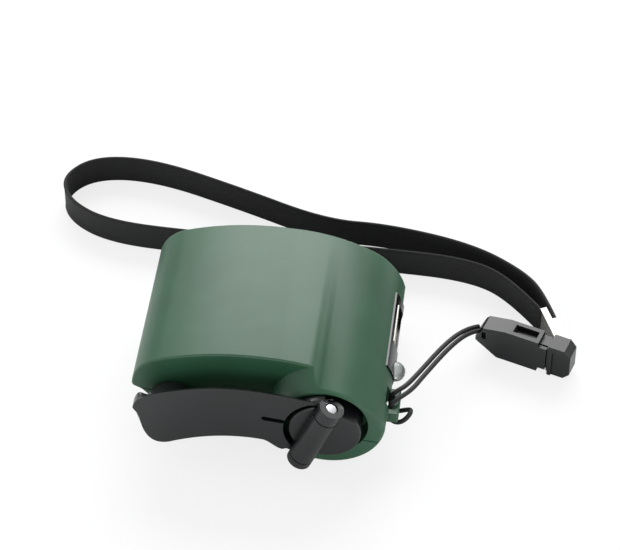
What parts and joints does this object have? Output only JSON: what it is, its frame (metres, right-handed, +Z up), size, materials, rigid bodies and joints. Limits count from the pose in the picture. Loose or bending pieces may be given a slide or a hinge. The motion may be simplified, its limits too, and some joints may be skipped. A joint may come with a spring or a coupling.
{
  "type": "hand cranked generator",
  "caption": "Palm-size hand crank phone charger with a fold-out crank, geared generator, charging socket, lamp and wrist lanyard.",
  "frame": {"origin": "middle of the charger's footprint without its lanyard, on the surface it rests on", "axes": "+Z up, crank face towards -Y, socket and lamp end towards +X"},
  "size_m": [0.1394, 0.1004, 0.0302],
  "materials": {
    "shell_green": "satin moulded ABS",
    "panel_black": "matt",
    "socket_steel": "plated",
    "insulator": "matt",
    "contact_gold": "plated",
    "lamp_lens": "clear",
    "tinned_lead": "tinned",
    "board_green": "solder mask",
    "can_sleeve": "sleeve",
    "ferrite": "sintered",
    "chip_black": "moulded",
    "bronze": "sintered",
    "crank_black": "satin",
    "pin_steel": "ground",
    "screw_steel": "plated",
    "gear_acetal": "natural",
    "gear_brass": "cut",
    "plate_grey": "moulded",
    "pillar_brass": "turned",
    "can_steel": "zinc plated",
    "magnet": "ferrite",
    "lamination": "stacked sheet",
    "copper_wire": "enamelled copper",
    "brush_brass": "sheet",
    "lead_red": "sleeved",
    "cord_black": "braided",
    "buckle_grey": "satin",
    "crimp_metal": "plated",
    "ribbon_black": "woven"
  },
  "bodies": {
    "housing": {"upper_shell": "shell_green", "lower_shell": "shell_green", "end_panel": "panel_black", "usb_socket": "socket_steel", "usb_tongue": "insulator", "usb_contacts": "contact_gold", "led": "lamp_lens", "led_leads": "tinned_lead", "circuit_board": "board_green", "capacitor": "can_sleeve", "inductor": "ferrite", "regulator_chip": "chip_black", "rectifier_diodes": "chip_black", "hub_bush": "bronze", "second_axle": "pin_steel", "third_axle": "pin_steel", "front_gear_plate": "plate_grey", "rear_gear_plate": "plate_grey", "plate_pillars": "pillar_brass", "plate_screws": "screw_steel", "housing_screws": "screw_steel", "generator_can": "can_steel", "field_magnets": "magnet", "brush_cap": "insulator", "brush_terminals": "brush_brass", "generator_leads": "lead_red", "lanyard_cord": "cord_black", "buckle_socket": "buckle_grey"},
    "crank": {"crank_hub": "crank_black", "shaft_screw": "screw_steel", "drive_gear": "gear_acetal"},
    "arm": {"crank_arm": "crank_black", "hinge_pin": "pin_steel", "knob_screw": "screw_steel"},
    "grip": {"knob": "crank_black"},
    "second_stage": {"second_gear": "gear_acetal"},
    "third_stage": {"third_gear": "gear_acetal"},
    "rotor": {"rotor_shaft": "pin_steel", "rotor_pinion": "gear_brass", "armature_core": "lamination", "armature_coils": "copper_wire", "commutator": "copper_wire"},
    "buckle_tail": {"buckle_prongs": "buckle_grey", "ribbon_crimps": "crimp_metal", "lanyard_ribbon": "ribbon_black"}
  },
  "joints": [
    {"name": "crank_spin", "type": "hinge", "parent": "housing", "child": "crank", "pos_m": [0.01555, -0.0162, 0.0146], "axis": [0, -1, 0], "continuous": true},
    {"name": "arm_fold", "type": "hinge", "parent": "crank", "child": "arm", "pos_m": [0.01351, -0.0257, 0.01542], "axis": [0.3746, 0, 0.9272], "range_deg": [0, 180]},
    {"name": "knob_spin", "type": "hinge", "parent": "arm", "child": "grip", "pos_m": [-0.02245, -0.0192, 0.0141], "axis": [0, -1, 0], "continuous": true},
    {"name": "second_spin", "type": "hinge", "parent": "housing", "child": "second_stage", "pos_m": [0.00492, -0.0092, 0.01745], "axis": [0, -1, 0], "continuous": true},
    {"name": "third_spin", "type": "hinge", "parent": "housing", "child": "third_stage", "pos_m": [-0.00522, -0.0072, 0.01473], "axis": [0, -1, 0], "continuous": true},
    {"name": "rotor_spin", "type": "hinge", "parent": "housing", "child": "rotor", "pos_m": [-0.01508, 0.0088, 0.01832], "axis": [0, -1, 0], "continuous": true},
    {"name": "buckle_release", "type": "slide", "parent": "housing", "child": "buckle_tail", "axis": [0.9511, -0.309, 0], "range_m": [0, 0.012]}
  ],
  "couplings": [
    {"joint": "second_spin", "follows": "crank_spin", "ratio": -3.4},
    {"joint": "third_spin", "follows": "crank_spin", "ratio": 10.88},
    {"joint": "rotor_spin", "follows": "crank_spin", "ratio": -34.816}
  ]
}
